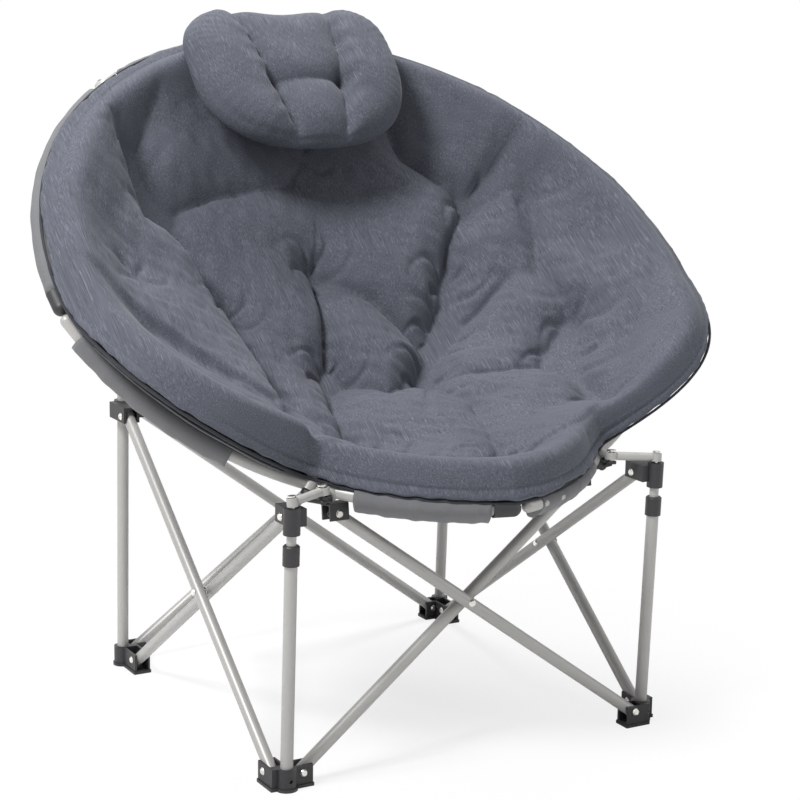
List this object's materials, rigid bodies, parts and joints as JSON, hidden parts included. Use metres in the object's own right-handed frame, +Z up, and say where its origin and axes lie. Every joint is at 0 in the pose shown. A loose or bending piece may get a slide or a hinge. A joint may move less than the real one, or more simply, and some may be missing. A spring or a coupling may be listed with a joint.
{
  "type": "folding saucer chair",
  "caption": "Folding saucer chair: a round cushioned bowl seat with head pillow, hung on a hinged hoop over a crossed tube frame that folds to a slim bundle",
  "frame": {"origin": "on the floor, midway between the outermost points front to back and side to side", "axes": "+Z up, the sitter faces -Y, X runs side to side and X = 0 is the chair's middle plane"},
  "size_m": [0.9472, 0.7342, 0.9303],
  "materials": {
    "frame_coat": "satin light warm grey powder coat",
    "rivet_steel": "bright domed rivets",
    "black_plastic": "matte moulded black",
    "seat_cloth": "heathered slate blue-grey weave",
    "shell_cloth": "plain mid grey weave"
  },
  "bodies": {
    "left_back_post": {"back_left_foot": "black_plastic", "back_left_rivets": "rivet_steel", "left_back_post": "frame_coat", "left_top_bracket": "black_plastic"},
    "right_back_post": {"back_right_foot": "black_plastic", "back_right_rivets": "rivet_steel", "right_back_post": "frame_coat", "right_top_bracket": "black_plastic"},
    "left_fork_brace": {"left_fork_brace": "frame_coat", "left_side_rivet": "rivet_steel"},
    "left_slider_brace": {"left_slider_brace": "frame_coat"},
    "left_slider": {"left_slider": "black_plastic", "left_slider_rivets": "rivet_steel"},
    "left_front_post": {"front_left_foot": "black_plastic", "front_left_rivets": "rivet_steel", "left_outer_post": "frame_coat", "left_collar": "black_plastic"},
    "left_fork": {"left_fork": "black_plastic", "left_fork_rivets": "rivet_steel", "left_inner_post": "frame_coat"},
    "left_link": {"left_link": "frame_coat"},
    "left_corner": {"left_corner_bracket": "black_plastic", "left_corner_rivets": "rivet_steel"},
    "front_left_hoop": {"front_left_hoop": "frame_coat", "front_hinge_sleeve": "black_plastic"},
    "lower_left_hoop": {"lower_left_hoop": "frame_coat"},
    "upper_left_hoop": {"upper_left_hoop": "frame_coat", "left_side_hinge_sleeve": "black_plastic"},
    "top_left_hoop": {"top_left_hoop": "frame_coat", "top_hinge_sleeve": "black_plastic"},
    "right_fork_brace": {"right_fork_brace": "frame_coat", "right_side_rivet": "rivet_steel"},
    "right_slider_brace": {"right_slider_brace": "frame_coat"},
    "right_slider": {"right_slider": "black_plastic", "right_slider_rivets": "rivet_steel"},
    "right_front_post": {"front_right_foot": "black_plastic", "front_right_rivets": "rivet_steel", "right_outer_post": "frame_coat", "right_collar": "black_plastic"},
    "right_fork": {"right_fork": "black_plastic", "right_fork_rivets": "rivet_steel", "right_inner_post": "frame_coat"},
    "right_link": {"right_link": "frame_coat"},
    "right_corner": {"right_corner_bracket": "black_plastic", "right_corner_rivets": "rivet_steel"},
    "front_right_hoop": {"front_right_hoop": "frame_coat"},
    "lower_right_hoop": {"lower_right_hoop": "frame_coat"},
    "upper_right_hoop": {"upper_right_hoop": "frame_coat", "right_side_hinge_sleeve": "black_plastic"},
    "top_right_hoop": {"top_right_hoop": "frame_coat"},
    "front_left_brace": {"front_left_brace": "frame_coat", "front_cross_rivet": "rivet_steel"},
    "front_right_brace": {"front_right_brace": "frame_coat"},
    "back_left_brace": {"back_left_brace": "frame_coat", "back_cross_rivet": "rivet_steel"},
    "back_right_brace": {"back_right_brace": "frame_coat"},
    "seat": {"seat_shell": "shell_cloth", "seat_cushion": "seat_cloth", "head_pillow": "seat_cloth"}
  },
  "joints": [
    {"name": "fold", "type": "hinge", "parent": "left_back_post", "child": "left_fork_brace", "pos_m": [-0.2575, 0.22219, 0.018], "axis": [-1, 0, 0], "range_deg": [0, 36]},
    {"name": "left_side_cross", "type": "hinge", "parent": "left_fork_brace", "child": "left_slider_brace", "pos_m": [-0.266, -0.02854, 0.1885], "axis": [1, 0, 0], "range_deg": [0, 72]},
    {"name": "left_slider_pivot", "type": "hinge", "parent": "left_slider_brace", "child": "left_slider", "pos_m": [-0.2745, 0.20837, 0.37773], "axis": [-1, 0, 0], "range_deg": [0, 36]},
    {"name": "left_front_foot_pivot", "type": "hinge", "parent": "left_slider_brace", "child": "left_front_post", "pos_m": [-0.2745, -0.242, 0.018], "axis": [-1, 0, 0], "range_deg": [0, 36]},
    {"name": "left_fork_pivot", "type": "hinge", "parent": "left_fork_brace", "child": "left_fork", "pos_m": [-0.2575, -0.25445, 0.34212], "axis": [1, 0, 0], "range_deg": [0, 36]},
    {"name": "left_link_pivot", "type": "hinge", "parent": "left_fork", "child": "left_link", "pos_m": [-0.266, -0.28137, 0.36611], "axis": [-0.077, 0.086, 0.9933], "range_deg": [0, 47.59]},
    {"name": "front_left_brace_pivot", "type": "hinge", "parent": "left_front_post", "child": "front_left_brace", "pos_m": [-0.244, -0.25956, 0.01696], "axis": [0, -0.9925, 0.1219], "range_deg": [0, 36]},
    {"name": "front_cross", "type": "hinge", "parent": "front_left_brace", "child": "front_right_brace", "pos_m": [0, -0.24606, 0.19666], "axis": [0, 0.9925, -0.1219], "range_deg": [0, 72]},
    {"name": "right_front_foot_pivot", "type": "hinge", "parent": "front_right_brace", "child": "right_front_post", "pos_m": [0.244, -0.27644, 0.01904], "axis": [0, -0.9925, 0.1219], "range_deg": [0, 36]},
    {"name": "left_corner_pivot", "type": "hinge", "parent": "front_right_brace", "child": "left_corner", "pos_m": [-0.18509, -0.23786, 0.33322], "axis": [0, -0.9925, 0.1219], "range_deg": [0, 36]},
    {"name": "right_corner_pivot", "type": "hinge", "parent": "front_left_brace", "child": "right_corner", "pos_m": [0.18509, -0.22099, 0.33114], "axis": [0, 0.9925, -0.1219], "range_deg": [0, 36]},
    {"name": "back_left_brace_pivot", "type": "hinge", "parent": "left_back_post", "child": "back_left_brace", "pos_m": [-0.244, 0.27068, 0.01833], "axis": [0, -0.9993, -0.0384], "range_deg": [0, 36]},
    {"name": "back_cross", "type": "hinge", "parent": "back_left_brace", "child": "back_right_brace", "pos_m": [0, 0.25528, 0.19787], "axis": [0, 0.9993, 0.0384], "range_deg": [0, 72]},
    {"name": "right_back_foot_pivot", "type": "hinge", "parent": "back_right_brace", "child": "right_back_post", "pos_m": [0.244, 0.25369, 0.01767], "axis": [0, -0.9993, -0.0384], "range_deg": [0, 36]},
    {"name": "right_fork_brace_pivot", "type": "hinge", "parent": "right_back_post", "child": "right_fork_brace", "pos_m": [0.2575, 0.22219, 0.018], "axis": [-1, 0, 0], "range_deg": [0, 36]},
    {"name": "right_side_cross", "type": "hinge", "parent": "right_fork_brace", "child": "right_slider_brace", "pos_m": [0.266, -0.02854, 0.1885], "axis": [1, 0, 0], "range_deg": [0, 72]},
    {"name": "right_slider_pivot", "type": "hinge", "parent": "right_slider_brace", "child": "right_slider", "pos_m": [0.2745, 0.20837, 0.37773], "axis": [-1, 0, 0], "range_deg": [0, 36]},
    {"name": "right_fork_pivot", "type": "hinge", "parent": "right_fork_brace", "child": "right_fork", "pos_m": [0.2575, -0.25445, 0.34212], "axis": [1, 0, 0], "range_deg": [0, 36]},
    {"name": "right_link_pivot", "type": "hinge", "parent": "right_fork", "child": "right_link", "pos_m": [0.266, -0.28137, 0.36611], "axis": [-0.077, -0.086, -0.9933], "range_deg": [0, 47.59]},
    {"name": "front_left_hoop_hinge", "type": "hinge", "parent": "left_corner", "child": "front_left_hoop", "pos_m": [-0.19071, -0.24023, 0.36198], "axis": [-0.8188, -0.2769, -0.5029], "range_deg": [0, 75.13]},
    {"name": "front_right_hoop_hinge", "type": "hinge", "parent": "right_corner", "child": "front_right_hoop", "pos_m": [0.19071, -0.24023, 0.36198], "axis": [-0.8188, 0.2769, 0.5029], "range_deg": [0, 75.13]},
    {"name": "lower_left_hoop_hinge", "type": "hinge", "parent": "left_corner", "child": "lower_left_hoop", "pos_m": [-0.21259, -0.22552, 0.36935], "axis": [0.5823, 0.1631, 0.7964], "range_deg": [0, 82.69]},
    {"name": "lower_right_hoop_hinge", "type": "hinge", "parent": "right_corner", "child": "lower_right_hoop", "pos_m": [0.21259, -0.22552, 0.36935], "axis": [0.5823, -0.1631, -0.7964], "range_deg": [0, 82.69]},
    {"name": "upper_left_hoop_hinge", "type": "hinge", "parent": "left_back_post", "child": "upper_left_hoop", "pos_m": [-0.27705, 0.27691, 0.82173], "axis": [0.195, 0.9038, 0.3809], "range_deg": [0, 147.28]},
    {"name": "upper_right_hoop_hinge", "type": "hinge", "parent": "right_back_post", "child": "upper_right_hoop", "pos_m": [0.27705, 0.27691, 0.82173], "axis": [0.195, -0.9038, -0.3809], "range_deg": [0, 147.28]},
    {"name": "top_left_hoop_hinge", "type": "hinge", "parent": "left_back_post", "child": "top_left_hoop", "pos_m": [-0.2546, 0.2901, 0.83172], "axis": [0.7188, -0.3549, 0.5978], "range_deg": [0, 85.5]},
    {"name": "top_right_hoop_hinge", "type": "hinge", "parent": "right_back_post", "child": "top_right_hoop", "pos_m": [0.2546, 0.2901, 0.83172], "axis": [0.7188, 0.3549, -0.5978], "range_deg": [0, 85.5]},
    {"name": "seat_swing", "type": "hinge", "parent": "left_back_post", "child": "seat", "pos_m": [0, 0.02974, 0.86831], "axis": [1, 0, 0], "range_deg": [0, 40.91], "deforming": ["seat_shell", "seat_cushion", "head_pillow"]}
  ],
  "couplings": [
    {"joint": "left_side_cross", "follows": "fold", "ratio": 2},
    {"joint": "left_slider_pivot", "follows": "fold", "ratio": 1},
    {"joint": "left_front_foot_pivot", "follows": "fold", "ratio": 1},
    {"joint": "left_fork_pivot", "follows": "fold", "ratio": 1},
    {"joint": "left_link_pivot", "follows": "fold", "ratio": 1.322},
    {"joint": "front_left_brace_pivot", "follows": "fold", "ratio": 1},
    {"joint": "front_cross", "follows": "fold", "ratio": 2},
    {"joint": "right_front_foot_pivot", "follows": "fold", "ratio": 1},
    {"joint": "left_corner_pivot", "follows": "fold", "ratio": 1},
    {"joint": "right_corner_pivot", "follows": "fold", "ratio": 1},
    {"joint": "back_left_brace_pivot", "follows": "fold", "ratio": 1},
    {"joint": "back_cross", "follows": "fold", "ratio": 2},
    {"joint": "right_back_foot_pivot", "follows": "fold", "ratio": 1},
    {"joint": "right_fork_brace_pivot", "follows": "fold", "ratio": 1},
    {"joint": "right_side_cross", "follows": "fold", "ratio": 2},
    {"joint": "right_slider_pivot", "follows": "fold", "ratio": 1},
    {"joint": "right_fork_pivot", "follows": "fold", "ratio": 1},
    {"joint": "right_link_pivot", "follows": "fold", "ratio": 1.322},
    {"joint": "front_left_hoop_hinge", "follows": "fold", "ratio": 2.087},
    {"joint": "front_right_hoop_hinge", "follows": "fold", "ratio": 2.087},
    {"joint": "lower_left_hoop_hinge", "follows": "fold", "ratio": 2.297},
    {"joint": "lower_right_hoop_hinge", "follows": "fold", "ratio": 2.297},
    {"joint": "upper_left_hoop_hinge", "follows": "fold", "ratio": 4.091},
    {"joint": "upper_right_hoop_hinge", "follows": "fold", "ratio": 4.091},
    {"joint": "top_left_hoop_hinge", "follows": "fold", "ratio": 2.375},
    {"joint": "top_right_hoop_hinge", "follows": "fold", "ratio": 2.375},
    {"joint": "seat_swing", "follows": "fold", "ratio": 1.1364}
  ]
}
